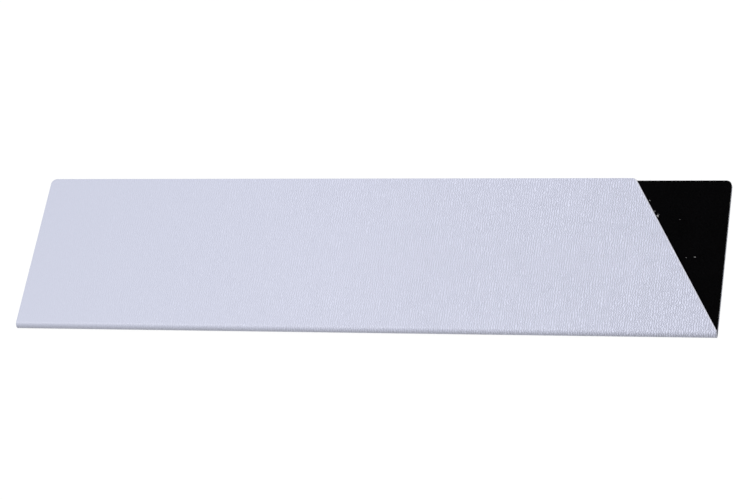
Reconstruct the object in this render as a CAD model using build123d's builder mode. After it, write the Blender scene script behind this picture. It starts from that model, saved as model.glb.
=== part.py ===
from build123d import *
from math import radians, tan
import os

# A flat guard for the blade of a kitchen knife. One plastic cover sheet is folded along a long
# edge into a back leaf and a front leaf. A flexible magnet is bonded inside each leaf, and a felt
# lining covers both magnets and the inside of the fold between them. The front leaf is cut off on
# a slant at one end, so that the back leaf's lining shows there.
#
# X runs along the length, with the slanted end at +X. The fold is at -Y and the leaves open at +Y.
# The back leaf lies on Z = 0, and the origin is under the middle of the guard.
# All lengths are in millimetres and all angles in degrees.

# Overall size, measured over the fold
guard_length = 210.0
guard_depth = 52.6

# Layers of one leaf, from its outside to the blade
cover_thickness = 0.5
adhesive_thickness = 0.05
magnet_thickness = 0.4
lining_thickness = 0.2

# Room between the two linings when the guard is shut
pocket_gap = 0.35

# Cut outline of the leaves
slant_run = 28.0
corner_radius = 1.8
slant_corner_radius = 1.5
cut_edge_radius = 0.12

# Place of the magnets and linings on their covers. The setback is also the run over which the
# lining dips from the magnets to the inside of the fold.
panel_inset = 0.1
panel_setback = 1.0

# How far the front leaf opens
opening_angle = 45.0

# Worked out from the sizes above
leaf_thickness = cover_thickness + 2 * adhesive_thickness + magnet_thickness + lining_thickness
guard_thickness = 2 * leaf_thickness + pocket_gap
fold_radius = guard_thickness / 2
inner_fold_radius = fold_radius - cover_thickness
lining_fold_radius = inner_fold_radius - lining_thickness / 2
lining_half_spread = (pocket_gap + lining_thickness) / 2

left_end = -guard_length / 2
right_end = guard_length / 2
free_edge = guard_depth / 2
fold_line = fold_radius - guard_depth / 2

os.makedirs("parts", exist_ok=True)


# Outlines that the layers share


def cover_face(level, run):
    """Outline of a leaf's cover at a height, its right end leaning back by a run."""
    with BuildSketch(Plane.XY.offset(level)) as face:
        with BuildLine():
            Polyline(
                (left_end, fold_line),
                (right_end, fold_line),
                (right_end - run, free_edge),
                (left_end, free_edge),
                close=True,
            )
        make_face()
        left_corner = face.vertices().group_by(Axis.Y)[-1].sort_by(Axis.X)[0]
        fillet(left_corner, radius=corner_radius)
        right_corner = face.vertices().group_by(Axis.Y)[-1].sort_by(Axis.X)[-1]
        fillet(right_corner, radius=slant_corner_radius if run else corner_radius)
    return face.sketch


def inset_face(level, run):
    """The cover's outline at a height, drawn in on all sides."""
    with BuildSketch(Plane.XY.offset(level)) as face:
        add(cover_face(0, run))
        offset(amount=-panel_inset, mode=Mode.REPLACE)
    return face.sketch


def panel_face(level, run):
    """Outline of a layer inside a leaf: the inset outline, set back from the fold."""
    with BuildSketch(Plane.XY.offset(level)) as face:
        add(inset_face(0, run))
        split(bisect_by=Plane.XZ.offset(-fold_line - panel_setback), keep=Keep.BOTTOM)
    return face.sketch


# Back leaf, from the table up

with BuildPart() as back_cover:
    extrude(cover_face(0, 0), amount=cover_thickness)
    cut_edges = back_cover.faces().sort_by(Axis.Z)[0].edges().sort_by(Axis.Y)[1:]
    fillet(cut_edges, radius=cut_edge_radius)
back_cover.part.label = "back_cover"
export_step(back_cover.part, "parts/back_cover.step")

back_magnet_adhesive_level = cover_thickness
with BuildPart() as back_magnet_adhesive:
    extrude(panel_face(back_magnet_adhesive_level, 0), amount=adhesive_thickness)
back_magnet_adhesive.part.label = "back_magnet_adhesive"
export_step(back_magnet_adhesive.part, "parts/back_magnet_adhesive.step")

back_magnet_level = back_magnet_adhesive_level + adhesive_thickness
with BuildPart() as back_magnet:
    extrude(panel_face(back_magnet_level, 0), amount=magnet_thickness)
back_magnet.part.label = "back_magnet"
export_step(back_magnet.part, "parts/back_magnet.step")

back_lining_adhesive_level = back_magnet_level + magnet_thickness
with BuildPart() as back_lining_adhesive:
    extrude(panel_face(back_lining_adhesive_level, 0), amount=adhesive_thickness)
back_lining_adhesive.part.label = "back_lining_adhesive"
export_step(back_lining_adhesive.part, "parts/back_lining_adhesive.step")

back_lining_level = back_lining_adhesive_level + adhesive_thickness
with BuildPart() as back_lining:
    extrude(panel_face(back_lining_level, 0), amount=lining_thickness)
back_lining.part.label = "back_lining"
export_step(back_lining.part, "parts/back_lining.step")

# Fold: the cover sheet bent through a half circle, which carries the front leaf over the back one

with BuildPart() as cover_fold:
    with BuildSketch(Plane.YZ.offset(left_end)):
        with BuildLine():
            outer_bend = CenterArc((fold_line, fold_radius), fold_radius, 90, 180)
            inner_bend = CenterArc((fold_line, fold_radius), inner_fold_radius, 90, 180)
            Line(outer_bend @ 0, inner_bend @ 0)
            Line(outer_bend @ 1, inner_bend @ 1)
        make_face()
    extrude(amount=guard_length)
    bend_edges = cover_fold.edges().filter_by(GeomType.CIRCLE)
    fillet(bend_edges.group_by(SortBy.LENGTH)[-1], radius=cut_edge_radius)
cover_fold.part.label = "cover_fold"
export_step(cover_fold.part, "parts/cover_fold.step")

# Lining inside the fold: it comes off each magnet's edge, dips to the cover and follows the bend.
# Each dip is two equal arcs, which meet halfway down it. Above the bend's middle the lining ends on
# the slant, as the front leaf does.

with BuildPart() as lining_fold:
    with BuildSketch(Plane.YZ.offset(left_end + panel_inset)):
        with BuildLine():
            CenterArc((fold_line, fold_radius), lining_fold_radius, 90, 180)
            for side in (-1, 1):
                bend_end = (fold_line, fold_radius + side * lining_fold_radius)
                dip_middle = (
                    fold_line + panel_setback / 2,
                    fold_radius + side * (lining_fold_radius + lining_half_spread) / 2,
                )
                leaf_end = (fold_line + panel_setback, fold_radius + side * lining_half_spread)
                TangentArc(bend_end, dip_middle, tangent=(1, 0))
                TangentArc(leaf_end, dip_middle, tangent=(-1, 0))
        trace(line_width=lining_thickness)
    extrude(amount=guard_length - 2 * panel_inset)
    with BuildSketch(Plane.XY.offset(fold_radius)):
        add(inset_face(0, 0))
        add(inset_face(0, slant_run), mode=Mode.SUBTRACT)
    extrude(amount=fold_radius, mode=Mode.SUBTRACT)
lining_fold.part.label = "lining_fold"
export_step(lining_fold.part, "parts/lining_fold.step")

# Front leaf, from the blade up

front_lining_level = back_lining_level + lining_thickness + pocket_gap
with BuildPart() as front_lining:
    extrude(panel_face(front_lining_level, slant_run), amount=lining_thickness)
front_lining.part.label = "front_lining"
export_step(front_lining.part, "parts/front_lining.step")

front_lining_adhesive_level = front_lining_level + lining_thickness
with BuildPart() as front_lining_adhesive:
    extrude(panel_face(front_lining_adhesive_level, slant_run), amount=adhesive_thickness)
front_lining_adhesive.part.label = "front_lining_adhesive"
export_step(front_lining_adhesive.part, "parts/front_lining_adhesive.step")

front_magnet_level = front_lining_adhesive_level + adhesive_thickness
with BuildPart() as front_magnet:
    extrude(panel_face(front_magnet_level, slant_run), amount=magnet_thickness)
front_magnet.part.label = "front_magnet"
export_step(front_magnet.part, "parts/front_magnet.step")

front_magnet_adhesive_level = front_magnet_level + magnet_thickness
with BuildPart() as front_magnet_adhesive:
    extrude(panel_face(front_magnet_adhesive_level, slant_run), amount=adhesive_thickness)
front_magnet_adhesive.part.label = "front_magnet_adhesive"
export_step(front_magnet_adhesive.part, "parts/front_magnet_adhesive.step")

front_cover_level = front_magnet_adhesive_level + adhesive_thickness
with BuildPart() as front_cover:
    extrude(cover_face(front_cover_level, slant_run), amount=cover_thickness)
    cut_edges = front_cover.faces().sort_by(Axis.Z)[-1].edges().sort_by(Axis.Y)[1:]
    fillet(cut_edges, radius=cut_edge_radius)
front_cover.part.label = "front_cover"
export_step(front_cover.part, "parts/front_cover.step")

# Line that the front leaf turns about. The bend keeps its length, so as the guard opens it
# spans a smaller angle on a larger radius, and the leaf moves as if about a line inside the bend.
bend_radius = fold_radius - cover_thickness / 2
opened_bend_radius = bend_radius * 180 / (180 - opening_angle)
hinge_offset = (opened_bend_radius - bend_radius) / tan(radians(opening_angle / 2))
hinge_y = fold_line - hinge_offset
print(f"the front leaf turns about the line Y = {hinge_y:.4f}, Z = {fold_radius:.4f}")
print(f"the slanted end stands at {slant_run / (free_edge - fold_line):.4f} to one across the leaf")
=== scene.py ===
"""Looks of a folded knife blade guard: grained cover sheet, felt lining, magnets and glue films.

X runs along the guard towards the slanted end, Y from the fold to the open edge and Z from the back
leaf up to the front leaf. Lengths are in metres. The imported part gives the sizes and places.
"""

import logging
import math
import random
from collections.abc import Iterable, Iterator
from dataclasses import dataclass
from enum import Enum
from functools import cache
from typing import Any, ClassVar

import bmesh
import bpy
from mathutils import Matrix, Vector


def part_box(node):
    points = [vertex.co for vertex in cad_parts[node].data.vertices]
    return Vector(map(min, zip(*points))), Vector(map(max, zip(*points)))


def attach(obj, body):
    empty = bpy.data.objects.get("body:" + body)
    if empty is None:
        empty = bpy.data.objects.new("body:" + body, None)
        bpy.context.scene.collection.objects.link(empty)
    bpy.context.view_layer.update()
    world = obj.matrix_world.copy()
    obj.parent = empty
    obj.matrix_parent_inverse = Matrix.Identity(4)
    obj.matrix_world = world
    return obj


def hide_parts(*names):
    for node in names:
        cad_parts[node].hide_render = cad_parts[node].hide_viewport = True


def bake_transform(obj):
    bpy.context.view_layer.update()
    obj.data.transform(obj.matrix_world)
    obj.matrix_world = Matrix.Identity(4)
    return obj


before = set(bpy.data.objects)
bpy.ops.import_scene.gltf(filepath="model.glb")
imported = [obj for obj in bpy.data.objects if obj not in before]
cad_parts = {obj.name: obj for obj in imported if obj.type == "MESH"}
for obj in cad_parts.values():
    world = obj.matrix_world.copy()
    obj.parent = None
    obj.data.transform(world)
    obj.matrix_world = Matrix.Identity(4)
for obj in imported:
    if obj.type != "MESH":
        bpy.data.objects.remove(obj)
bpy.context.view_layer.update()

MM = 0.001
TINY = 0.001 * MM
LOG = logging.getLogger("blade_guard")

Colour = tuple[float, float, float]
Place = tuple[float, float, float]
Span = tuple[float, float]
Piece = bpy.types.Object
BMesh = bmesh.types.BMesh
Group = bpy.types.NodeTree
Node = bpy.types.Node
Socket = bpy.types.NodeSocket
Inputs = dict[Any, Any]

# Ranges of a pattern, the middle of one that goes from 0 to 1, and plain white
WHOLE: Span = (0.0, 1.0)
FALLING: Span = (1.0, 0.0)
MIDDLE = 0.5
WHITE = (1.0, 1.0, 1.0, 1.0)

# What a bevel says for a round edge, and for one that keeps the material beside it
ROUND_PROFILE = 0.5
KEEP_MATERIAL = -1


class Leaf(Enum):
    """The two leaves of the guard, by the name of the body that each one is."""

    BACK = "back_leaf"
    FRONT = "front_leaf"


class Slot(Enum):
    """Names of two material slots, cover and lining, which nothing in this script uses."""

    COVER = "cover"
    LINING = "lining"


@dataclass(frozen=True)
class GuardSizes:
    """Sizes of the guard as packed, with the few that its boxes don't tell.

    Heights are named for the face that lies there, from the table up.
    """

    left: float
    right: float
    free_edge: float
    fold_line: float
    back_inside: float
    felt_low: float
    felt_high: float
    front_felt_low: float
    front_inside: float
    top: float
    felt_inset: float
    felt_setback: float
    felt_bend_low: float
    slant_run: float = 28.0 * MM
    corner_radius: float = 1.8 * MM
    slant_corner_radius: float = 1.5 * MM
    felt_overhang: float = 0.1 * MM

    @classmethod
    def packed(cls) -> "GuardSizes":
        """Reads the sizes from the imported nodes.

        Returns:
            The guard's sizes, in metres.
        """
        back_low, back_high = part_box("back_cover")
        front_low, front_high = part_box("front_cover")
        felt_low, felt_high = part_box("back_lining")
        front_felt_low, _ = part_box("front_lining")
        bend_low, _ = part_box("lining_fold")
        return cls(
            left=back_low.x,
            right=back_high.x,
            free_edge=back_high.y,
            fold_line=back_low.y,
            back_inside=back_high.z,
            felt_low=felt_low.z,
            felt_high=felt_high.z,
            front_felt_low=front_felt_low.z,
            front_inside=front_low.z,
            top=front_high.z,
            felt_inset=back_high.x - felt_high.x,
            felt_setback=felt_low.y - back_low.y,
            felt_bend_low=bend_low.z,
        )

    @property
    def length(self) -> float:
        """Length of the guard."""
        return self.right - self.left

    @property
    def middle(self) -> float:
        """Height of the middle of the fold."""
        return self.top / 2

    @property
    def depth(self) -> float:
        """Depth of a leaf, from the fold line to the open edge."""
        return self.free_edge - self.fold_line

    @property
    def felt_open_edge(self) -> float:
        """Where the felt ends at the open edge, a touch past the cover."""
        return self.free_edge + self.felt_overhang

    @property
    def slant_normal(self) -> Vector:
        """Direction out of the slanted end, square to it."""
        return Vector((self.depth, self.slant_run, 0)).normalized()

    def beyond_slant(self, x: float, y: float) -> float:
        """Finds how far a place lies beyond the slanted end, below 0 under the front leaf."""
        return (Vector((x, y, 0)) - Vector((self.right, self.fold_line, 0))).dot(self.slant_normal)


def keep_kind(items: list, kind: type) -> list:
    """Keeps the vertices, edges or faces out of a mixed list, by their type."""
    return [item for item in items if isinstance(item, kind)]


def once_each(items: Iterable[Any]) -> list:
    """Drops repeats and keeps the order, which a set of mesh elements wouldn't from run to run."""
    return list(dict.fromkeys(items))


def settle_order(bm: BMesh) -> None:
    """Sorts the edges and faces by their vertices, since solidify leaves them in a chance order.

    Args:
        bm: The mesh to sort.
    """
    bm.verts.index_update()
    for items in (bm.edges, bm.faces):
        ranked = sorted(items, key=lambda item: sorted(v.index for v in item.verts))
        items.sort(key={item: place for place, item in enumerate(ranked)}.get)


def pull_edges(bm: BMesh, edges: list, move: Place) -> list:
    """Pulls edges into faces.

    Args:
        bm: The mesh that holds them.
        edges: The edges to pull.
        move: How far and which way.

    Returns:
        The edges at the far side of the new faces.
    """
    grown = bmesh.ops.extrude_edge_only(bm, edges=edges)["geom"]
    verts = keep_kind(grown, bmesh.types.BMVert)
    bmesh.ops.translate(bm, verts=verts, vec=move)
    return [e for e in keep_kind(grown, bmesh.types.BMEdge) if all(v in verts for v in e.verts)]


def bend_edges(bm: BMesh, edges: list, centre: Place, turn: float, steps: int) -> list:
    """Sweeps edges round a line along X.

    Args:
        bm: The mesh that holds them.
        edges: The edges to sweep.
        centre: A point of the line.
        turn: The angle, by the right hand about +X.
        steps: Into how many faces it goes.

    Returns:
        The edges at the end of the sweep.
    """
    swept = bmesh.ops.spin(
        bm,
        geom=[*once_each(v for e in edges for v in e.verts), *edges],
        cent=centre,
        axis=(1, 0, 0),
        angle=turn,
        steps=steps,
        use_duplicate=False,
    )
    return keep_kind(swept["geom_last"], bmesh.types.BMEdge)


def join_mesh(bm: BMesh, part: BMesh) -> None:
    """Adds a finished mesh to another one.

    Args:
        bm: The mesh that it joins.
        part: The mesh to add, which is freed.
    """
    passing = bpy.data.meshes.new("passing")
    part.to_mesh(passing)
    part.free()
    bm.from_mesh(passing)
    bpy.data.meshes.remove(passing)


def place_mesh(name: str, bm: BMesh, materials: list) -> Piece:
    """Turns a finished mesh into an object of the scene, which stays at the origin.

    Args:
        name: The object's name.
        bm: The mesh, which is freed.
        materials: The materials of its slots.

    Returns:
        The object.
    """
    mesh = bpy.data.meshes.new(name)
    for material in materials:
        mesh.materials.append(material)
    bm.to_mesh(mesh)
    bm.free()
    placed = bpy.data.objects.new(name, mesh)
    bpy.context.scene.collection.objects.link(placed)
    return placed


@dataclass
class FoldedSheet:
    """A sheet that lies in both leaves and runs through the fold between them.

    It is drawn as one face of the sheet, the outer one, and then gets its thickness inwards.
    """

    pattern: ClassVar[str] = "sheet"
    edge_lean: ClassVar[float] = 0.5

    sizes: GuardSizes
    name: str
    inset: float
    outer_low: float
    thickness: float
    corner_steps: int = 8
    bend_steps: int = 32

    @property
    def span(self) -> Span:
        """The sheet's two ends along the guard."""
        return self.sizes.left + self.inset, self.sizes.right - self.inset

    @property
    def open_edge(self) -> float:
        """Where the sheet ends at the guard's open edge."""
        return self.sizes.free_edge - self.inset

    @property
    def leaf_start(self) -> float:
        """Where the flat of a leaf begins, next to the fold."""
        return self.sizes.fold_line

    @property
    def bend_radius(self) -> float:
        """Radius of the sheet's outer face inside the fold."""
        return self.sizes.middle - self.outer_low

    @property
    def bend_length(self) -> float:
        """Length of the sheet between the flats of its leaves, along its middle."""
        return math.pi * (self.bend_radius - self.thickness / 2)

    def outline_face(self) -> BMesh:
        """Draws the outer face of the sheet, folded and cut to its outline.

        Returns:
            The face, with its normals away from the blade.
        """
        bm = bmesh.new()
        ends = [bm.verts.new((x, self.open_edge, self.outer_low)) for x in self.span]
        reach = self.open_edge - self.leaf_start
        rim = pull_edges(bm, [bm.edges.new(ends)], (0, -reach, 0))
        rim = self.bend_through_fold(bm, rim)
        pull_edges(bm, rim, (0, reach, 0))
        self.cut_slant(bm)
        self.round_corners(bm)
        bm.normal_update()
        lowest = min(bm.faces, key=lambda f: f.calc_center_median().z)
        if lowest.normal.z > 0:
            bmesh.ops.reverse_faces(bm, faces=bm.faces[:])
        return bm

    def bend_through_fold(self, bm: BMesh, rim: list) -> list:
        """Sweeps the sheet from the back leaf's edge at the fold round to the front leaf's edge."""
        centre = (0, self.sizes.fold_line, self.sizes.middle)
        return bend_edges(bm, rim, centre, -math.pi, self.bend_steps)

    def cut_slant(self, bm: BMesh) -> None:
        """Cuts the front leaf off on its slant.

        Args:
            bm: The mesh to cut.
        """
        s = self.sizes
        centres = {f: f.calc_center_median() for f in bm.faces}
        faces = [f for f, place in centres.items() if place.z > s.middle and place.y > s.fold_line]
        edges = once_each(e for f in faces for e in f.edges)
        verts = once_each(v for f in faces for v in f.verts)
        bmesh.ops.bisect_plane(
            bm,
            geom=[*verts, *edges, *faces],
            dist=TINY,
            plane_co=Vector((s.right, s.fold_line, 0)) - s.slant_normal * self.inset,
            plane_no=s.slant_normal,
            clear_outer=True,
        )

    def round_corners(self, bm: BMesh) -> None:
        """Rounds the four corners of the leaves at the open edge.

        Args:
            bm: The mesh to round.
        """
        s = self.sizes
        slant_angle = math.pi - math.atan2(s.depth, s.slant_run)
        slant_tangent = (s.slant_corner_radius - self.inset) / math.tan(slant_angle / 2)
        for v in [v for v in bm.verts if abs(v.co.y - self.open_edge) < TINY]:
            slanted = v.co.z > s.middle and v.co.x > 0
            bmesh.ops.bevel(
                bm,
                geom=[v],
                affect="VERTICES",
                offset=slant_tangent if slanted else s.corner_radius - self.inset,
                segments=self.corner_steps,
                profile=ROUND_PROFILE,
                material=KEEP_MATERIAL,
            )

    def thicken(self, bm: BMesh) -> None:
        """Gives the sheet its thickness, inwards from the outer face.

        Args:
            bm: The outer face.
        """
        bmesh.ops.solidify(bm, geom=bm.faces[:], thickness=self.thickness)
        settle_order(bm)
        bmesh.ops.recalc_face_normals(bm, faces=bm.faces[:])

    def is_cut_edge(self, face: bmesh.types.BMFace) -> bool:
        """Tells whether a face is part of the sheet's cut edge and not of its broad faces."""
        in_bend = face.calc_center_median().y < self.sizes.fold_line
        return abs(face.normal.x) > self.edge_lean if in_bend else abs(face.normal.z) < self.edge_lean

    def unroll(self, point: Vector) -> Span:
        """Finds a point's place on the flat sheet.

        Args:
            point: A point of the folded sheet.

        Returns:
            How far it lies along the guard, and across the sheet from the back leaf's open edge,
            both as shares of the guard's length.
        """
        s = self.sizes
        radius = self.bend_radius - self.thickness / 2
        across = min(s.free_edge - point.y, s.depth)
        if point.y < s.fold_line:
            across += radius * math.atan2(s.fold_line - point.y, s.middle - point.z)
        elif point.z > s.middle:
            across = 2 * s.depth + math.pi * radius - across
        return (point.x - s.left) / s.length, across / s.length

    def lay_out_pattern(self, bm: BMesh) -> None:
        """Gives each corner of each face its place on the flat sheet, for patterns to follow.

        Args:
            bm: The mesh to mark.
        """
        layer = bm.loops.layers.uv.new(self.pattern)
        for face in bm.faces:
            for loop in face.loops:
                loop[layer].uv = self.unroll(loop.vert.co)


@dataclass
class CoverSheet(FoldedSheet):
    """The plastic cover: one sheet outside both leaves and round the fold.

    Its vertices hold a number named rim, which is 1 at the slanted cut and 0 a little way in.
    """

    rim_mark: ClassVar[str] = "rim"

    rim_width: float = 0.5 * MM
    sharp_angle: float = math.radians(60)
    edge_radius: float = 0.12 * MM
    edge_steps: int = 3

    def build(self, finish: "Finish", edge_finish: "Finish") -> Piece:
        """Makes the cover and hides the imported cover pieces that it stands in for.

        Args:
            finish: The finish of its broad faces.
            edge_finish: The finish of its cut edge.

        Returns:
            The piece.
        """
        bm = self.outline_face()
        self.mark_rim(bm)
        self.thicken(bm)
        self.ease_cut_edge(bm)
        for face in bm.faces:
            face.smooth = True
            face.material_index = int(self.is_cut_edge(face))
        self.lay_out_pattern(bm)
        piece = place_mesh(self.name, bm, [finish.material(), edge_finish.material()])
        piece.modifiers.new("even_normals", "WEIGHTED_NORMAL").keep_sharp = True
        s = self.sizes
        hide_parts("back_cover", "cover_fold", "front_cover")
        start, end = (0, 0, s.back_inside), (0, 0, s.front_inside)
        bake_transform(piece)
        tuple(start)
        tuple(end)
        return piece

    def mark_rim(self, bm: BMesh) -> None:
        """Marks off a band along the cut, and how near to the slanted cut it is.

        Args:
            bm: The outer face.
        """
        s = self.sizes
        bmesh.ops.inset_region(
            bm, faces=bm.faces[:], use_boundary=True, use_even_offset=True, thickness=self.rim_width
        )
        layer = bm.verts.layers.float.new(self.rim_mark)
        for v in bm.verts:
            in_front = v.co.z > s.middle and v.co.y > s.fold_line - TINY
            at_slant = abs(s.beyond_slant(v.co.x, v.co.y)) < self.rim_width
            v[layer] = float(v.is_boundary and in_front and at_slant)

    def ease_cut_edge(self, bm: BMesh) -> None:
        """Rounds the outer edge all along the cut.

        Args:
            bm: The thick sheet.
        """
        sharp = [
            e
            for e in bm.edges
            if len(e.link_faces) == 2
            and e.calc_face_angle() > self.sharp_angle
            and all(self.lies_outside(v.co) for v in e.verts)
        ]
        bmesh.ops.bevel(
            bm,
            geom=sharp,
            affect="EDGES",
            offset=self.edge_radius,
            segments=self.edge_steps,
            profile=ROUND_PROFILE,
            material=KEEP_MATERIAL,
        )

    def lies_outside(self, point: Vector) -> bool:
        """Tells whether a point is on the sheet's outer face and not on its inner one."""
        in_fold, middle = min(point.y - self.sizes.fold_line, 0), self.sizes.middle
        return math.hypot(in_fold, point.z - middle) > middle - self.thickness / 2


@dataclass
class FeltLining(FoldedSheet):
    """The felt: one sheet over both magnets, which dips to the cover inside the fold."""

    dip_steps: int = 6
    soft_angle: float = math.radians(40)

    @property
    def open_edge(self) -> float:
        """Where the felt ends at the guard's open edge."""
        return self.sizes.felt_open_edge

    @property
    def leaf_start(self) -> float:
        """Where the flat of a leaf begins, next to the fold."""
        return self.sizes.fold_line + self.sizes.felt_setback

    @property
    def bend_radius(self) -> float:
        """Radius of the felt's outer face inside the fold."""
        return self.sizes.middle - self.sizes.felt_bend_low

    @property
    def dip_turn(self) -> float:
        """Angle that the felt turns by, down and back again, in each half of a dip."""
        s = self.sizes
        return 2 * math.atan2(self.outer_low - s.felt_bend_low, s.felt_setback)

    @property
    def dip_radius(self) -> float:
        """Radius of each half of a dip."""
        return self.sizes.felt_setback / 2 / math.sin(self.dip_turn)

    @property
    def bend_length(self) -> float:
        """Length of the felt between the flats of its leaves, along its middle."""
        return super().bend_length + 4 * self.dip_radius * self.dip_turn

    def build(self, finish: "Finish") -> Piece:
        """Makes the lining and hides the imported lining pieces that it stands in for.

        Args:
            finish: The felt's finish.

        Returns:
            The piece.
        """
        bm = self.outline_face()
        self.thicken(bm)
        for edge in bm.edges:
            edge.smooth = len(edge.link_faces) < 2 or edge.calc_face_angle() < self.soft_angle
        for face in bm.faces:
            face.smooth = True
        self.lay_out_pattern(bm)
        area = sum(f.calc_area() for f in bm.faces) / 2
        piece = place_mesh(self.name, bm, [finish.material()])
        piece.modifiers.new("even_normals", "WEIGHTED_NORMAL").keep_sharp = True
        s = self.sizes
        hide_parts("back_lining", "lining_fold", "front_lining")
        unrolled = 2 * (self.open_edge - self.leaf_start) + self.bend_length
        start, end = (0, 0, s.felt_high), (0, 0, s.front_felt_low)
        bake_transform(piece)
        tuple(start)
        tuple(end)
        return piece

    def bend_through_fold(self, bm: BMesh, rim: list) -> list:
        """Dips to the cover, follows the bend and rises to the front leaf.

        Each dip is two equal arcs, which meet halfway down it.

        Args:
            bm: The mesh that holds the rim.
            rim: The back leaf's edge at the dip.

        Returns:
            The front leaf's edge at its dip.
        """
        s = self.sizes
        turn, radius, steps = self.dip_turn, self.dip_radius, self.dip_steps
        low, high = self.outer_low - radius, s.top - self.outer_low + radius
        bend_low, bend_high = s.felt_bend_low + radius, s.top - s.felt_bend_low - radius
        rim = bend_edges(bm, rim, (0, self.leaf_start, low), turn, steps)
        rim = bend_edges(bm, rim, (0, s.fold_line, bend_low), -turn, steps)
        rim = super().bend_through_fold(bm, rim)
        rim = bend_edges(bm, rim, (0, s.fold_line, bend_high), -turn, steps)
        return bend_edges(bm, rim, (0, self.leaf_start, high), turn, steps)


@dataclass(frozen=True)
class Fibre:
    """One loose fibre: where it starts, where it heads and how it bends.

    It heads to +Y and bends to +X, both turned by the heading, and its lean lifts the bend. One that
    lies on the felt has its middle a share of its thickness off the felt.
    """

    sides: ClassVar[int] = 3
    share_off: ClassVar[float] = 0.25

    root: Place
    heading: float
    lean: float
    length: float
    bend: float
    thickness: float
    steps: int = 4

    def add_to(self, bm: BMesh) -> None:
        """Adds the fibre as a thin three-sided arc.

        Args:
            bm: The mesh that it joins.
        """
        strand = bmesh.new()
        radius = self.thickness / 2
        bmesh.ops.create_circle(strand, cap_ends=True, radius=radius, segments=self.sides)
        bmesh.ops.spin(
            strand,
            geom=[*strand.verts, *strand.edges, *strand.faces],
            cent=(self.length / self.bend, 0, 0),
            axis=(0, 1, 0),
            angle=self.bend,
            steps=self.steps,
            use_duplicate=False,
        )
        lie_down = Matrix.Rotation(-math.pi / 2, 4, "X") @ Matrix.Rotation(-self.lean, 4, "Z")
        place = Matrix.Translation(self.root) @ Matrix.Rotation(self.heading, 4, "Z") @ lie_down
        bmesh.ops.transform(strand, matrix=place, verts=strand.verts)
        bmesh.ops.recalc_face_normals(strand, faces=strand.faces)
        join_mesh(bm, strand)


def build_fibres(name: str, leaf: Leaf, fibres: Iterable[Fibre], finish: "Finish") -> Piece:
    """Makes one piece of many fibres and lets it ride on a leaf.

    Args:
        name: The piece's name.
        leaf: The leaf.
        fibres: The fibres, in the order that they are picked.
        finish: The fibres' finish.

    Returns:
        The piece.
    """
    bm = bmesh.new()
    for fibre in fibres:
        fibre.add_to(bm)
    piece = place_mesh(name, bm, [finish.material()])
    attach(piece, leaf.value)
    return piece


@dataclass(frozen=True)
class Rim:
    """One straight stretch of the felt's cut edge, and the direction out of it."""

    start: Vector
    end: Vector
    outwards: Vector

    @property
    def heading(self) -> float:
        """Heading of a fibre that stands straight out of it."""
        return -math.atan2(self.outwards.x, self.outwards.y)


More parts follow.
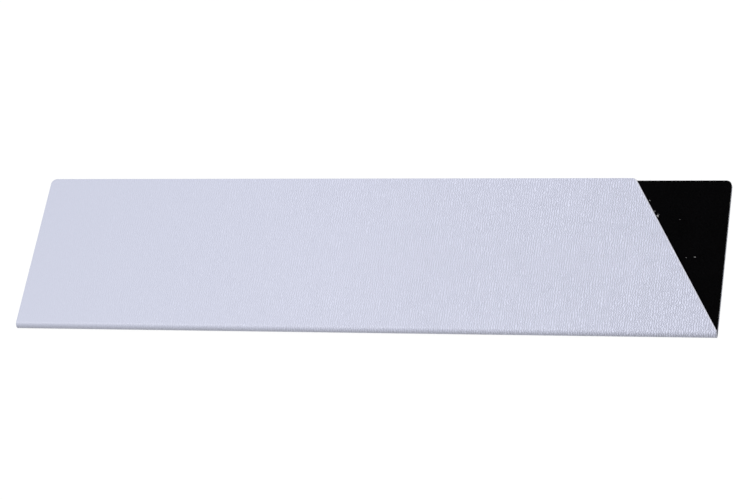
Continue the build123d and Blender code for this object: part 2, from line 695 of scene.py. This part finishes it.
@dataclass(frozen=True)
class LooseFibres:
    """Fuzz on the felt of one leaf and along its cut edges.

    The fuzz on the face lies on the side of the blade.
    """

    sizes: GuardSizes
    leaf: Leaf
    seed: int
    count: int = 700
    margin: float = 0.6 * MM
    thickness: Span = (0.012 * MM, 0.022 * MM)
    length: Span = (0.4 * MM, 1.3 * MM)
    bend: Span = (0.4, 2.4)
    rise: Span = (0.02, 0.12)
    edge_pitch: float = 0.4 * MM
    edge_length: Span = (0.12 * MM, 0.4 * MM)
    edge_bend: Span = (0.3, 1.6)
    edge_swing: float = 0.7
    edge_height: Span = (0.2, 0.8)

    def fibres(self) -> Iterator[Fibre]:
        """Picks the fuzz, first on the face and then along the cut edges.

        Yields:
            The fibres, one by one.
        """
        pick = random.Random(self.seed)
        for _ in range(self.count):
            yield self.fibre(pick)
        for rim in self.rims():
            for _ in range(round((rim.end - rim.start).length / self.edge_pitch)):
                yield self.edge_fibre(pick, rim)

    def fibre(self, pick: random.Random) -> Fibre:
        """Picks one fibre.

        Args:
            pick: Where the random numbers come from.

        Returns:
            The fibre, on the felt.
        """
        s = self.sizes
        inset = s.felt_inset + self.margin
        x = pick.uniform(s.left + inset, s.right - inset)
        y = pick.uniform(s.fold_line + s.felt_setback, s.free_edge - inset)
        back = self.leaf is Leaf.BACK
        if not back and s.beyond_slant(x, y) > -inset:
            x -= s.slant_run + inset
        thickness = pick.uniform(*self.thickness)
        off = thickness * Fibre.share_off
        height = s.felt_high + off if back else s.front_felt_low - off
        lean = pick.uniform(*self.rise) * (1 if back else -1)
        return Fibre(
            root=(x, y, height),
            heading=pick.uniform(-math.pi, math.pi),
            lean=lean,
            length=pick.uniform(*self.length),
            bend=pick.uniform(*self.bend),
            thickness=thickness,
        )

    def rims(self) -> list[Rim]:
        """Lists the straight stretches of the felt's cut edge.

        Returns:
            The left end, the open edge and the right or slanted end.
        """
        s = self.sizes
        start, reach = s.fold_line + s.felt_setback, s.corner_radius
        left, right = s.left + s.felt_inset, s.right - s.felt_inset
        edge = s.felt_open_edge
        near, far = Vector((right, start, 0)), Vector((right, edge, 0))
        out_of_end = Vector((1, 0, 0))
        if self.leaf is Leaf.FRONT:
            out_of_end = s.slant_normal
            along = Vector((-s.slant_run, s.depth, 0)) / s.depth
            near += along * s.felt_setback - Vector((0, s.felt_setback, 0))
            far = Vector((right, s.fold_line, 0)) + along * (edge - s.fold_line)
        inwards = (near - far).normalized() * reach
        return [
            Rim(Vector((left, start, 0)), Vector((left, edge - reach, 0)), Vector((-1, 0, 0))),
            Rim(Vector((left + reach, edge, 0)), far - Vector((reach, 0, 0)), Vector((0, 1, 0))),
            Rim(near, far + inwards, out_of_end),
        ]

    def edge_fibre(self, pick: random.Random, rim: Rim) -> Fibre:
        """Picks one fibre on a cut edge.

        Args:
            pick: Where the random numbers come from.
            rim: The stretch of the edge.

        Returns:
            The fibre, which stands out of the edge.
        """
        s = self.sizes
        lift = s.felt_low if self.leaf is Leaf.BACK else s.front_felt_low
        root = rim.start.lerp(rim.end, pick.random())
        root.z = lift + (s.felt_high - s.felt_low) * pick.uniform(*self.edge_height)
        return Fibre(
            root=tuple(root),
            heading=rim.heading + pick.uniform(-1, 1) * self.edge_swing,
            lean=pick.uniform(-self.edge_swing, self.edge_swing) / 2,
            length=pick.uniform(*self.edge_length),
            bend=pick.choice((-1, 1)) * pick.uniform(*self.edge_bend),
            thickness=pick.uniform(*self.thickness),
        )


@dataclass(frozen=True)
class Tuft:
    """One tuft of lint: the place that it clings to, how many fibres it has and how long they are."""

    x: float
    y: float
    count: int
    length: float


@dataclass(frozen=True)
class Lint:
    """A little pale lint that clings to the back leaf's felt beside the slanted edge."""

    sizes: GuardSizes
    seed: int = 11
    tufts: tuple[Tuft, ...] = (
        Tuft(84.49 * MM, 14.13 * MM, 12, 0.75 * MM),
        Tuft(83.38 * MM, 15.64 * MM, 6, 0.6 * MM),
        Tuft(81.67 * MM, 19.34 * MM, 5, 0.5 * MM),
        Tuft(91.03 * MM, 12.94 * MM, 2, 0.3 * MM),
        Tuft(87.99 * MM, 6.86 * MM, 3, 0.35 * MM),
        Tuft(96.57 * MM, 0.20 * MM, 4, 0.5 * MM),
        Tuft(94.22 * MM, -0.05 * MM, 1, 0.3 * MM),
    )
    spread: float = 0.10 * MM
    thickness: Span = (0.02 * MM, 0.04 * MM)
    bend: Span = (1.0, 3.0)
    lean: Span = (0.05, 0.5)
    shortening: Span = (0.5, 1.0)

    def fibres(self) -> Iterator[Fibre]:
        """Picks the lint, tuft by tuft.

        Yields:
            The fibres, one by one.
        """
        pick = random.Random(self.seed)
        for tuft in self.tufts:
            for _ in range(tuft.count):
                yield self.fibre(pick, tuft)

    def fibre(self, pick: random.Random, tuft: Tuft) -> Fibre:
        """Picks one fibre of a tuft.

        Args:
            pick: Where the random numbers come from.
            tuft: The tuft.

        Returns:
            The fibre, on the felt.
        """
        x, y = (centre + pick.uniform(-1, 1) * self.spread for centre in (tuft.x, tuft.y))
        thickness = pick.uniform(*self.thickness)
        return Fibre(
            root=(x, y, self.sizes.felt_high + thickness * Fibre.share_off),
            heading=pick.uniform(-math.pi, math.pi),
            lean=pick.uniform(*self.lean),
            length=tuft.length * pick.uniform(*self.shortening),
            bend=pick.uniform(*self.bend),
            thickness=thickness,
        )


class Wiring:
    """Adds nodes to a material or a node group and links them."""

    def __init__(self, tree: Group) -> None:
        """Starts on a node tree."""
        self.tree = tree

    def add(self, kind: str, inputs: Inputs | None = None, **settings: Any) -> Node:
        """Adds a node.

        Args:
            kind: The node's type.
            inputs: What its inputs hold or read.
            **settings: The node's own properties.

        Returns:
            The new node.
        """
        node = self.tree.nodes.new(kind)
        for name, value in settings.items():
            setattr(node, name, value)
        self.feed(node, inputs or {})
        return node

    def feed(self, node: Node, inputs: Inputs) -> None:
        """Sets or links inputs of a node.

        Args:
            node: The node.
            inputs: A value or a socket to read, for each input by its name or number.
        """
        for name, value in inputs.items():
            if isinstance(value, Socket):
                self.tree.links.new(value, node.inputs[name])
            else:
                node.inputs[name].default_value = value

    def math(self, operation: str, *values: Any) -> Socket:
        """Works out a number from numbers, or from the sockets to read."""
        return self.add("ShaderNodeMath", dict(enumerate(values)), operation=operation).outputs[0]

    def vector_math(self, operation: str, inputs: Inputs) -> Socket:
        """Works out a vector from vectors or numbers, or from the sockets to read."""
        return self.add("ShaderNodeVectorMath", inputs, operation=operation).outputs[0]

    def remap(self, value: Socket, target: Span, source: Span = WHOLE) -> Socket:
        """Maps the source range of a number to the target range, and holds it at the ends."""
        inputs = dict(enumerate((value, *source, *target)))
        return self.add("ShaderNodeMapRange", inputs).outputs[0]

    def noise(self, place: Socket, scale: float, detail: float) -> Node:
        """Adds cloudy noise, with so many clouds in one unit and so many finer layers."""
        return self.add("ShaderNodeTexNoise", {"Vector": place, "Scale": scale, "Detail": detail})

    def swing(self, place: Socket, scale: float, detail: float) -> Socket:
        """Gives the same noise as a number that swings about 0."""
        return self.math("SUBTRACT", self.noise(place, scale, detail).outputs["Fac"], MIDDLE)

    def mix(self, factor: Any, first: Any, second: Any) -> Socket:
        """Mixes two colours or sockets. The factor is how much of the second one it takes."""
        inputs = {0: factor, 6: as_rgba(first), 7: as_rgba(second)}
        return self.add("ShaderNodeMix", inputs, data_type="RGBA").outputs[2]

    def x_of(self, place: Socket) -> Socket:
        """Gives the first number of a vector."""
        return self.add("ShaderNodeSeparateXYZ", {0: place}).outputs["X"]


def as_rgba(colour: Any) -> Any:
    """Gives a plain colour its fourth number, and leaves a socket as it is."""
    return (*colour, 1.0) if isinstance(colour, tuple) else colour


@dataclass(frozen=True)
class Effects:
    """The node groups that several finishes share, each built when it is first asked for.

    Sizes and rates are in cells, and a cell is as large as a group's first number input says.
    """

    pebble_drift_rate: float = 0.7
    pebble_smoothness: float = 0.5
    pebble_slope: Span = (0.05, 0.62)
    pebble_share: float = 0.8
    pebble_fine_rate: float = 2.6
    pebble_valley: Span = (0.4, 0.66)
    ridge_together: Place = (0.3, 1.0, 1.0)
    ridge_slow_rate: float = 0.9
    ridge_quick_rate: float = 1.2
    ridge_quick_share: float = 0.3
    ridge_aside: Place = (17.0, 5.0, 0.0)
    ridge_patches: Span = (0.3, 0.6)
    ridge_strength: Span = (0.6, 1.0)
    cloud_contrast: Span = (0.3, 0.7)
    web_rates: Place = (1.0, 1.7, 2.9)
    web_shift: float = 11.0

    def start(self, name: str, numbers: list[str], outputs: list[str]) -> tuple[Wiring, Node]:
        """Starts a node group that reads a vector and some numbers.

        Args:
            name: The group's name.
            numbers: The names of its number inputs, the first of which is its cell's size.
            outputs: The names of the numbers that it puts out.

        Returns:
            The wiring of the group, and its input node.
        """
        tree = bpy.data.node_groups.new(name, "ShaderNodeTree")
        tree.interface.new_socket("Vector", in_out="INPUT", socket_type="NodeSocketVector")
        for way, sockets in (("INPUT", numbers), ("OUTPUT", outputs)):
            for socket in sockets:
                tree.interface.new_socket(socket, in_out=way, socket_type="NodeSocketFloat")
        w = Wiring(tree)
        return w, w.add("NodeGroupInput")

    def in_cells(self, w: Wiring, source: Node) -> Socket:
        """Divides a group's vector by the size of its cell."""
        rate = w.math("DIVIDE", 1.0, source.outputs[1])
        return w.vector_math("SCALE", {"Vector": source.outputs[0], "Scale": rate})

    @cache
    def pebble_grain(self) -> Group:
        """Soft pebbles with fine valleys between them, as on grained plastic or rubber.

        Returns:
            The group. Height is 0 in a valley and 1 on a pebble, and Valley is 1 in a valley.
        """
        w, source = self.start("pebble_grain", ["Pitch", "Unevenness"], ["Height", "Valley"])
        place = self.in_cells(w, source)
        drift = w.noise(place, self.pebble_drift_rate, 1.0).outputs["Color"]
        centred = w.vector_math("SUBTRACT", {0: drift, 1: (MIDDLE, MIDDLE, MIDDLE)})
        shift = w.vector_math("SCALE", {"Vector": centred, "Scale": source.outputs["Unevenness"]})
        moved = w.vector_math("ADD", {0: place, 1: shift})
        cells = w.add(
            "ShaderNodeTexVoronoi",
            {"Vector": moved, "Scale": 1.0, "Smoothness": self.pebble_smoothness},
            feature="SMOOTH_F1",
            voronoi_dimensions="2D",
        ).outputs["Distance"]
        pebble = w.math("MULTIPLY", w.remap(cells, FALLING, self.pebble_slope), self.pebble_share)
        fine = w.noise(moved, self.pebble_fine_rate, 2.0).outputs["Fac"]
        height = w.math("ADD", pebble, w.math("MULTIPLY", fine, 1.0 - self.pebble_share))
        valley = w.remap(cells, WHOLE, self.pebble_valley)
        w.add("NodeGroupOutput", {"Height": height, "Valley": valley})
        return w.tree

    @cache
    def ridge_grain(self) -> Group:
        """Short wavy ridges that run along Y, as on embossed vinyl.

        Returns:
            The group. Pitch is from ridge to ridge, Stretch is how many times longer a ridge is, and
            Height is 0 between ridges and 1 on them.
        """
        w, source = self.start("ridge_grain", ["Pitch", "Unevenness", "Stretch"], ["Height"])
        squeeze = w.math("DIVIDE", 1.0, source.outputs["Stretch"])
        squeezed = w.add("ShaderNodeCombineXYZ", {"X": 1.0, "Y": squeeze, "Z": 1.0}).outputs[0]
        place = w.vector_math("MULTIPLY", {0: self.in_cells(w, source), 1: squeezed})
        together = w.vector_math("MULTIPLY", {0: place, 1: self.ridge_together})
        slow = w.swing(together, self.ridge_slow_rate, 1.0)
        quick = w.swing(place, self.ridge_quick_rate, 0.0)
        drift = w.math("ADD", slow, w.math("MULTIPLY", quick, self.ridge_quick_share))
        moved = w.math("ADD", w.x_of(place), w.math("MULTIPLY", drift, source.outputs["Unevenness"]))
        wave = w.math("MULTIPLY", w.math("SINE", w.math("MULTIPLY", moved, 2 * math.pi)), MIDDLE)
        aside = w.vector_math("ADD", {0: place, 1: self.ridge_aside})
        patches = w.noise(aside, self.ridge_slow_rate, 1.0).outputs["Fac"]
        strength = w.remap(patches, self.ridge_strength, self.ridge_patches)
        w.add("NodeGroupOutput", {"Height": w.math("ADD", w.math("MULTIPLY", wave, strength), MIDDLE)})
        return w.tree

    @cache
    def tone_drift(self) -> Group:
        """Slow, cloudy change over a surface, as in any mixed or pressed material.

        Returns:
            The group. Tone is from 0 to 1, around a half.
        """
        w, source = self.start("tone_drift", ["Size"], ["Tone"])
        cloud = w.noise(self.in_cells(w, source), 1.0, 3.0).outputs["Fac"]
        w.add("NodeGroupOutput", {"Tone": w.remap(cloud, WHOLE, self.cloud_contrast)})
        return w.tree

    @cache
    def fibre_web(self) -> Group:
        """Fine curly threads that cross each other, as in felt.

        Returns:
            The group. Thread is 1 on a thread and 0 between threads.
        """
        w, source = self.start("fibre_web", ["Curl", "Thickness"], ["Thread"])
        place = self.in_cells(w, source)
        threads: Any = 0.0
        for layer, rate in enumerate(self.web_rates):
            moved = w.vector_math("ADD", {0: place, 1: (self.web_shift * layer,) * 3})
            off_line = w.math("ABSOLUTE", w.swing(moved, rate, 2.0))
            reach = w.math("MINIMUM", w.math("DIVIDE", off_line, source.outputs["Thickness"]), 1.0)
            threads = w.math("MAXIMUM", threads, w.math("SUBTRACT", 1.0, reach))
        w.add("NodeGroupOutput", {"Thread": threads})
        return w.tree


EFFECTS = Effects()


@dataclass(frozen=True)
class Finish:
    """What every finish has: a name, and two tones that it drifts between."""

    name: str
    light_tone: Colour
    dark_tone: Colour

    def material(self) -> bpy.types.Material:
        """Builds the material.

        Returns:
            The material, which has one plain shader.
        """
        material = bpy.data.materials.new(self.name)
        material.use_nodes = True
        material.node_tree.nodes.clear()
        w = Wiring(material.node_tree)
        shader = w.add("ShaderNodeBsdfPrincipled")
        w.add("ShaderNodeOutputMaterial", {"Surface": shader.outputs[0]})
        w.feed(shader, self.shading(w))
        return material

    def shading(self, w: Wiring) -> Inputs:
        """Gives what the shader's inputs hold or read, which each finish says for itself."""
        raise NotImplementedError

    def tone(self, w: Wiring, factor: Socket) -> Socket:
        """Mixes the two tones. The factor is how much of the light one it takes."""
        return w.mix(factor, self.dark_tone, self.light_tone)

    def effect(self, w: Wiring, group: Group, **inputs: Any) -> Node:
        """Places a shared effect, its inputs by their names in small letters."""
        named = {name.capitalize(): value for name, value in inputs.items()}
        return w.add("ShaderNodeGroup", named, node_tree=group)

    def clouds(self, w: Wiring, place: Socket, size: float) -> Socket:
        """Places the slow change of tone, in clouds of about a size."""
        return self.effect(w, EFFECTS.tone_drift(), vector=place, size=size).outputs["Tone"]

    def bump(self, w: Wiring, height: Socket, depth: float) -> Socket:
        """Turns a height pattern from 0 to 1 into a normal. The depth is how high a 1 stands."""
        inputs = {"Strength": 1.0, "Distance": depth, "Height": height}
        return w.add("ShaderNodeBump", inputs).outputs[0]


@dataclass(frozen=True)
class SheetFinish(Finish):
    """A finish whose patterns follow the flat sheet, where a unit is the guard's length."""

    sheet_length: float

    def on_sheet(self, w: Wiring) -> Socket:
        """Gives the place on the flat sheet."""
        return w.add("ShaderNodeUVMap", uv_map=FoldedSheet.pattern).outputs[0]


@dataclass(frozen=True)
class CoverFinish(SheetFinish):
    """Satin plastic with short fine ridges and pebbles, pale grey with a touch of lavender.

    The grain was pressed deeper towards the slanted end, and in patches. Painted shade darkens its
    hollows, lightens its ridges and greys the sheet towards the left end, and the rim along the
    slanted cut is paler.
    """

    # Painted shade: the tone that the sheet greys towards at its left end.
    left_shade_tone: Colour
    # Painted shade: the tone that the hollows of the grain are darkened towards.
    grain_shade_tone: Colour
    rim_tone: Colour
    ridge_pitch: float = 0.70 * MM
    ridge_unevenness: float = 2.2
    ridge_stretch: float = 0.72
    ridge_depth: float = 0.105 * MM
    pebble_pitch: float = 0.24 * MM
    pebble_unevenness: float = 0.7
    pebble_share: float = 0.12
    patch_size: float = 6.0 * MM
    press_by_end: Span = (0.1, 1.2)
    press_by_patch: Span = (0.8, 1.0)
    # Painted shade in the grain: its mean share, and how strongly pebble valleys and ridges move it.
    mean_shade: float = 0.48
    valley_shade_share: float = 0.1
    ridge_shade_share: float = 1.0
    rim_share: float = 0.6
    # How far from the left end the painted shade fades out, as a share of the length.
    left_shade_fade: float = 0.45
    cloud_size: float = 45.0 * MM
    roughness: Span = (0.32, 0.38)
    specular: float = 0.25

    def shading(self, w: Wiring) -> Inputs:
        """Says what the shader's inputs read.

        Args:
            w: The material's wiring.

        Returns:
            The sockets and values, by the inputs' names.
        """
        sheet = self.on_sheet(w)
        cloud = self.clouds(w, sheet, self.cloud_size / self.sheet_length)
        along = w.x_of(sheet)
        press = self.press(w, sheet, along)
        ridge = self.effect(
            w,
            EFFECTS.ridge_grain(),
            vector=sheet,
            pitch=self.ridge_pitch / self.sheet_length,
            unevenness=self.ridge_unevenness,
            stretch=self.ridge_stretch,
        ).outputs["Height"]
        pebble = self.effect(
            w,
            EFFECTS.pebble_grain(),
            vector=sheet,
            pitch=self.pebble_pitch / self.sheet_length,
            unevenness=self.pebble_unevenness,
        )
        bumps = w.math("MULTIPLY", pebble.outputs["Height"], self.pebble_share)
        height = w.math("MULTIPLY", w.math("ADD", ridge, bumps), press)
        # Painted shade: the base colour darkens in the hollows between ridges and pebbles and lightens
        # on the ridges, more where the grain is deeper.
        ridge_shade_press = w.math("MULTIPLY", press, self.ridge_shade_share)
        ridge_shade = w.math("MULTIPLY", w.math("SUBTRACT", MIDDLE, ridge), ridge_shade_press)
        valley = w.math("MULTIPLY", pebble.outputs["Valley"], self.valley_shade_share)
        shade = w.math("ADD", w.math("ADD", ridge_shade, valley), self.mean_shade)
        # Painted shade: the base colour greys towards the left end.
        left_shade = w.remap(along, FALLING, (0.0, self.left_shade_fade))
        grained = w.mix(shade, w.mix(left_shade, self.tone(w, cloud), self.left_shade_tone), self.grain_shade_tone)
        rim = w.add("ShaderNodeAttribute", attribute_name=CoverSheet.rim_mark).outputs["Fac"]
        return {
            "Base Color": w.mix(w.math("MULTIPLY", rim, self.rim_share), grained, self.rim_tone),
            "Roughness": w.remap(cloud, self.roughness),
            "Specular IOR Level": self.specular,
            "Normal": self.bump(w, height, self.ridge_depth),
        }

    def press(self, w: Wiring, sheet: Socket, along: Socket) -> Socket:
        """Works out how deep the grain was pressed, which also sets how strong its painted shade is.

        Args:
            w: The material's wiring.
            sheet: The place on the flat sheet.
            along: How far along the guard that place is, from 0 to 1.

        Returns:
            How many times as deep as the full depth.
        """
        patch = self.clouds(w, sheet, self.patch_size / self.sheet_length)
        by_end, by_patch = w.remap(along, self.press_by_end), w.remap(patch, self.press_by_patch)
        return w.math("MULTIPLY", by_end, by_patch)


@dataclass(frozen=True)
class FeltFinish(SheetFinish):
    """Dense black felt, with the faint bloom of its nap at low angles."""

    curl: float = 1.1 * MM
    thread: float = 0.05
    curls_in_cloud: float = 6.0
    lit_share: Span = (0.5, 1.0)
    nap: float = 0.05 * MM
    bloom: float = 0.025
    bloom_spread: float = 0.5

    def shading(self, w: Wiring) -> Inputs:
        """Says what the shader's inputs read.

        Args:
            w: The material's wiring.

        Returns:
            The sockets and values, by the inputs' names.
        """
        sheet = self.on_sheet(w)
        curl = self.curl / self.sheet_length
        group = EFFECTS.fibre_web()
        web = self.effect(w, group, vector=sheet, curl=curl, thickness=self.thread).outputs["Thread"]
        cloud = self.clouds(w, sheet, self.curls_in_cloud * curl)
        return {
            "Base Color": self.tone(w, w.math("MULTIPLY", web, w.remap(cloud, self.lit_share))),
            "Roughness": 1.0,
            "Specular IOR Level": 0.0,
            "Sheen Weight": self.bloom,
            "Sheen Roughness": self.bloom_spread,
            "Normal": self.bump(w, web, self.nap),
        }


@dataclass(frozen=True)
class MagnetFinish(Finish):
    """Flexible magnet: dark powder in rubber, with a faintly pebbled skin."""

    pitch: float = 0.5 * MM
    unevenness: float = 1.0
    depth: float = 0.02 * MM
    cloud_size: float = 6.0 * MM
    roughness: Span = (0.5, 0.75)

    def shading(self, w: Wiring) -> Inputs:
        """Says what the shader's inputs read.

        Args:
            w: The material's wiring.

        Returns:
            The sockets and values, by the inputs' names.
        """
        place = w.add("ShaderNodeTexCoord").outputs["Object"]
        group = EFFECTS.pebble_grain()
        grain = self.effect(w, group, vector=place, pitch=self.pitch, unevenness=self.unevenness)
        return {
            "Base Color": self.tone(w, self.clouds(w, place, self.cloud_size)),
            "Roughness": w.remap(grain.outputs["Valley"], self.roughness),
            "Normal": self.bump(w, grain.outputs["Height"], self.depth),
        }


@dataclass(frozen=True)
class PlainFinish(Finish):
    """A stuff that only drifts in tone, and in roughness or height with it.

    It serves for the cover's scored cut edge, for single threads and for films of glue.
    """

    patch: float
    roughness: Span | float
    depth: float = 0.0
    specular: float = 0.5

    def shading(self, w: Wiring) -> Inputs:
        """Says what the shader's inputs read.

        Args:
            w: The material's wiring.

        Returns:
            The sockets and values, by the inputs' names.
        """
        drift = self.clouds(w, w.add("ShaderNodeTexCoord").outputs["Object"], self.patch)
        even = isinstance(self.roughness, float)
        inputs = {
            "Base Color": self.tone(w, drift),
            "Roughness": self.roughness if even else w.remap(drift, self.roughness),
            "Specular IOR Level": self.specular,
        }
        return inputs | {"Normal": self.bump(w, drift, self.depth)} if self.depth else inputs


@dataclass(frozen=True)
class HiddenLayers:
    """The magnets and glue films between the cover and the felt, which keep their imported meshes."""

    magnets: tuple[str, ...] = ("back_magnet", "front_magnet")
    films: tuple[str, ...] = (
        "back_magnet_adhesive",
        "back_lining_adhesive",
        "front_magnet_adhesive",
        "front_lining_adhesive",
    )

    def dress(self, magnet: Finish, glue: Finish) -> None:
        """Gives the magnets and the films their finishes.

        Args:
            magnet: The magnets' finish.
            glue: The films' finish.
        """
        for names, finish in ((self.magnets, magnet), (self.films, glue)):
            material = finish.material()
            for name in names:
                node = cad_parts[name]
                node.data.materials.clear()
                node.data.materials.append(material)
                LOG.info("%s: %s", name, material.name)


@dataclass(frozen=True)
class Studio:
    """A light table under one large soft box, seen from the photograph's viewpoint.

    The table lies a hair under the guard and is clear from below, so that the underside can be seen.
    """

    table_size: float = 6.0
    table_gap: float = 0.02 * MM
    table_white: float = 0.04
    table_glow: float = 0.97
    box_place: Place = (-0.30, 0.0, 2.5)
    box_size: Span = (2.6, 2.4)
    box_power: float = 106.0
    sky: float = 0.12
    backdrop: float = 0.95
    camera_place: Place = (0.22002, -0.41529, 0.65666)
    camera_turn: Place = (33.5343, 13.0102, 8.8483)
    lens: float = 131.9
    sensor: float = 36.0

    def build(self) -> None:
        """Sets up the table, the light, the sky and the camera."""
        self.lay_table()
        self.hang_soft_box()
        self.light_room()
        self.place_camera()
        bpy.context.scene.view_settings.view_transform = "Standard"

    def lay_table(self) -> None:
        """Lays the table under the guard, white and lit a little from below."""
        material = bpy.data.materials.new("white_table")
        material.use_nodes = True
        material.cycles.emission_sampling = "NONE"
        w = Wiring(material.node_tree)
        shader = w.tree.nodes["Principled BSDF"]
        looks = {
            "Base Color": as_rgba((self.table_white,) * 3),
            "Roughness": 1.0,
            "Specular IOR Level": 0.0,
            "Emission Color": WHITE,
            "Emission Strength": self.table_glow,
        }
        w.feed(shader, looks)
        from_below = w.add("ShaderNodeNewGeometry").outputs["Backfacing"]
        clear = w.add("ShaderNodeBsdfTransparent").outputs[0]
        surface = w.add("ShaderNodeMixShader", {0: from_below, 1: shader.outputs[0], 2: clear})
        w.feed(w.tree.nodes["Material Output"], {"Surface": surface.outputs[0]})
        bm = bmesh.new()
        place = Matrix.Translation((0, 0, -self.table_gap))
        bmesh.ops.create_grid(bm, x_segments=1, y_segments=1, size=self.table_size / 2, matrix=place)
        place_mesh("table_top", bm, [material])

    def hang_soft_box(self) -> None:
        """Hangs the soft box over the table, facing the guard."""
        light = bpy.data.lights.new("soft_box", "AREA")
        light.shape = "RECTANGLE"
        light.size, light.size_y = self.box_size
        light.energy = self.box_power
        box = bpy.data.objects.new("soft_box", light)
        box.location = self.box_place
        box.rotation_euler = (-Vector(self.box_place)).to_track_quat("-Z", "Y").to_euler()
        bpy.context.scene.collection.objects.link(box)

    def light_room(self) -> None:
        """Gives the room its soft light, and a pale backdrop behind the table."""
        world = bpy.data.worlds.new("studio")
        world.use_nodes = True
        w = Wiring(world.node_tree)
        seen = w.add("ShaderNodeLightPath").outputs["Is Camera Ray"]
        glow = w.remap(seen, (self.sky, self.backdrop))
        w.feed(w.tree.nodes["Background"], {"Color": WHITE, "Strength": glow})
        bpy.context.scene.world = world

    def place_camera(self) -> None:
        """Places the camera where the photograph's perspective puts it."""
        data = bpy.data.cameras.new("camera")
        data.lens = self.lens
        data.sensor_width = self.sensor
        camera = bpy.data.objects.new("camera", data)
        camera.location = self.camera_place
        camera.rotation_euler = tuple(math.radians(a) for a in self.camera_turn)
        bpy.context.scene.collection.objects.link(camera)
        bpy.context.scene.camera = camera


def build_cover(sizes: GuardSizes) -> Piece:
    """Builds the cover in its grained plastic.

    Args:
        sizes: The guard's sizes.

    Returns:
        The cover.
    """
    grained = CoverFinish(
        "grained_cover_painted_shade",
        light_tone=(0.615, 0.634, 0.764),
        dark_tone=(0.603, 0.621, 0.750),
        # Painted shade: the greyer left end and the darkened hollows of the grain.
        left_shade_tone=(0.548, 0.572, 0.688),
        grain_shade_tone=(0.323, 0.332, 0.399),
        rim_tone=(0.600, 0.585, 0.620),
        sheet_length=sizes.length,
    )
    edge = PlainFinish(
        "cover_cut_edge",
        light_tone=(0.50, 0.51, 0.57),
        dark_tone=(0.42, 0.43, 0.49),
        patch=0.25 * MM,
        roughness=0.6,
        depth=0.01 * MM,
    )
    sheet = CoverSheet(sizes, "cover_sheet", inset=0.0, outer_low=0.0, thickness=sizes.back_inside)
    return sheet.build(grained, edge)


def build_felt(sizes: GuardSizes) -> Piece:
    """Builds the lining in black felt.

    Args:
        sizes: The guard's sizes.

    Returns:
        The lining.
    """
    felt = FeltFinish(
        "black_felt",
        light_tone=(0.0016, 0.0014, 0.0018),
        dark_tone=(0.0002, 0.0002, 0.0003),
        sheet_length=sizes.length,
    )
    thickness = sizes.felt_high - sizes.felt_low
    inset, low = sizes.felt_inset, sizes.felt_low
    sheet = FeltLining(sizes, "felt_lining", inset=inset, outer_low=low, thickness=thickness)
    return sheet.build(felt)


def build_fuzz_and_lint(sizes: GuardSizes) -> list[Piece]:
    """Builds the fuzz on both leaves and the lint on the back one.

    Args:
        sizes: The guard's sizes.

    Returns:
        The three pieces.
    """
    kind = {"patch": 0.7 * MM, "roughness": (0.7, 0.9), "specular": 0.1}
    black = PlainFinish("black_fibres", (0.010, 0.009, 0.011), (0.002, 0.002, 0.002), **kind)
    pale = PlainFinish("pale_fibres", (0.82, 0.81, 0.79), (0.42, 0.41, 0.40), **kind)
    back, front = LooseFibres(sizes, Leaf.BACK, seed=3), LooseFibres(sizes, Leaf.FRONT, seed=5)
    return [
        build_fibres("back_fuzz", Leaf.BACK, back.fibres(), black),
        build_fibres("front_fuzz", Leaf.FRONT, front.fibres(), black),
        build_fibres("pale_lint", Leaf.BACK, Lint(sizes).fibres(), pale),
    ]


def dress_hidden_layers() -> None:
    """Gives the magnets and the glue films their finishes."""
    film = {"patch": 2.0 * MM, "roughness": (0.25, 0.4), "depth": 0.01 * MM}
    HiddenLayers().dress(
        MagnetFinish("magnet_rubber", (0.020, 0.017, 0.015), (0.010, 0.009, 0.008)),
        PlainFinish("glue_film", (0.72, 0.70, 0.60), (0.60, 0.57, 0.46), **film),
    )


def main() -> None:
    """Builds the cover, the lining, its fuzz and lint, dresses the hidden layers and lights it all."""
    logging.basicConfig(level=logging.INFO, format="%(message)s")
    sizes = GuardSizes.packed()
    for piece in (build_cover(sizes), build_felt(sizes), *build_fuzz_and_lint(sizes)):
        LOG.info("%s: %d faces", piece.name, len(piece.data.polygons))
    dress_hidden_layers()
    Studio().build()


if __name__ == "__main__":
    main()
